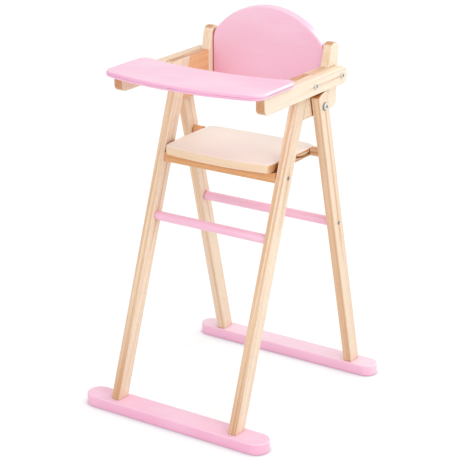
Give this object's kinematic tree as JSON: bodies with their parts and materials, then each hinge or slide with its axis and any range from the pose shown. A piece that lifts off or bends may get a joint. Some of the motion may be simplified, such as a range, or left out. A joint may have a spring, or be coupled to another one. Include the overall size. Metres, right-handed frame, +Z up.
{
  "type": "doll high chair",
  "caption": "Folding wooden high chair for dolls, with a bowed tray, a round-topped backrest, a seat that rides on sliding pegs, crossbars and long foot boards.",
  "frame": {"origin": "middle of the standing outline, on the floor", "axes": "+Z up, -Y towards the tray and the front, X across the chair"},
  "size_m": [0.2934, 0.3156, 0.521],
  "materials": {
    "pale_wood": "clear satin lacquer on pale fine-grained hardwood",
    "pink_lacquer": "pale pink satin lacquer on wood",
    "dowel_wood": "bare wood, glued in",
    "steel": "bright zinc-plated"
  },
  "bodies": {
    "front_frame": {"front_foot": "pink_lacquer", "front_leg_right": "pale_wood", "front_leg_left": "pale_wood", "side_panel_right": "pale_wood", "side_panel_left": "pale_wood", "back_post_right": "pale_wood", "back_post_left": "pale_wood", "backrest": "pink_lacquer", "tray_arm_right": "pale_wood", "tray_arm_left": "pale_wood", "tray": "pink_lacquer", "front_rung": "pink_lacquer", "seat_rail": "pale_wood", "seat": "pale_wood", "pivot_bolt_right": "steel", "pivot_bolt_left": "steel", "pivot_washer_outer_right": "steel", "pivot_washer_outer_left": "steel", "pivot_washer_inner_right": "steel", "pivot_washer_inner_left": "steel", "pivot_insert_right": "steel", "pivot_insert_left": "steel", "arm_screw_front_right": "steel", "arm_screw_front_left": "steel", "arm_screw_rear_right": "steel", "arm_screw_rear_left": "steel", "rail_screw_right": "steel", "rail_screw_left": "steel", "seat_screw_right": "steel", "seat_screw_left": "steel", "foot_dowel_front_right": "dowel_wood", "foot_dowel_front_left": "dowel_wood", "panel_dowel_front_right": "dowel_wood", "panel_dowel_front_left": "dowel_wood", "panel_dowel_rear_right": "dowel_wood", "panel_dowel_rear_left": "dowel_wood", "backrest_dowel_1_right": "dowel_wood", "backrest_dowel_1_left": "dowel_wood", "backrest_dowel_2_right": "dowel_wood", "backrest_dowel_2_left": "dowel_wood", "tray_dowel_1_right": "dowel_wood", "tray_dowel_1_left": "dowel_wood", "tray_dowel_2_right": "dowel_wood", "tray_dowel_2_left": "dowel_wood"},
    "rear_frame": {"rear_foot": "pink_lacquer", "rear_leg_right": "pale_wood", "rear_leg_left": "pale_wood", "rear_rung": "pink_lacquer", "seat_peg_right": "pale_wood", "seat_peg_left": "pale_wood", "peg_pin_right": "steel", "peg_pin_left": "steel", "rung_screw_right": "steel", "rung_screw_left": "steel", "foot_dowel_rear_right": "dowel_wood", "foot_dowel_rear_left": "dowel_wood"}
  },
  "joints": [
    {"name": "fold", "type": "hinge", "parent": "front_frame", "child": "rear_frame", "pos_m": [0, 0.03814, 0.4115], "axis": [-1, 0, 0], "range_deg": [0, 34]}
  ]
}
